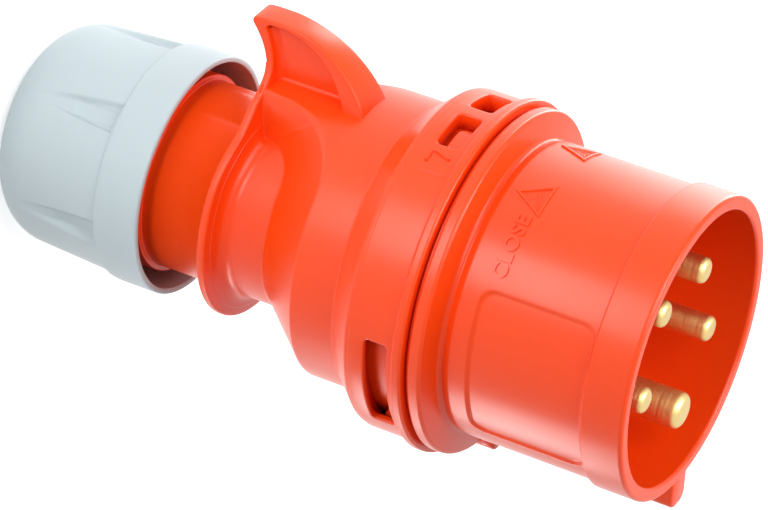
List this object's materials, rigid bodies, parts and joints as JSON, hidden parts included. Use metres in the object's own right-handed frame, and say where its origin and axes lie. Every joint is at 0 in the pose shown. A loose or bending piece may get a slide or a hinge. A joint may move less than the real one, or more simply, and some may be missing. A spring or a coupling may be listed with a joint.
{
  "type": "industrial plug",
  "caption": "Round industrial power plug: a red shroud round brass pins, a twist-lock collar, a finned hand grip and a grey cable gland nut.",
  "frame": {"origin": "centre of the cable hole on the rear face of the gland nut, which the plug stands on", "axes": "+Z along the plug's axis from the cable end to the mouth of the shroud, +Y towards the guide key and the earth pin, -Y towards the hand fin"},
  "size_m": [0.0672, 0.0761, 0.137],
  "materials": {
    "red_housing": "satin moulded",
    "insert": "satin moulded",
    "brass_pin": "turned and polished",
    "screw_steel": "zinc plated",
    "seal_rubber": "matt",
    "cage_plastic": "matt moulded",
    "grey_nut": "fine satin moulded"
  },
  "bodies": {
    "nut": {"gland_nut": "grey_nut"},
    "clamp": {"clamp_cage": "cage_plastic"},
    "handle": {"rear_housing": "red_housing", "cable_seal": "seal_rubber"},
    "front": {"front_housing": "red_housing", "terminal_block": "insert", "pin_earth": "brass_pin", "pin_l1": "brass_pin", "pin_l2": "brass_pin", "pin_l3": "brass_pin", "pin_neutral": "brass_pin", "terminal_screws": "screw_steel", "fixing_screws": "screw_steel", "housing_seal": "seal_rubber"}
  },
  "joints": [
    {"name": "gland_turn", "type": "hinge", "parent": "nut", "child": "clamp", "pos_m": [0, 0, 0], "axis": [0, 0, 1], "range_deg": [0, 1080]},
    {"name": "gland_travel", "type": "slide", "parent": "clamp", "child": "handle", "axis": [0, 0, 1], "range_m": [0, 0.009]},
    {"name": "twist_lock", "type": "hinge", "parent": "handle", "child": "front", "pos_m": [0, 0, 0.0956], "axis": [0, 0, 1], "range_deg": [0, 32]}
  ],
  "couplings": [
    {"joint": "gland_turn", "follows": "gland_travel", "rad_per_m": 2094.4}
  ]
}
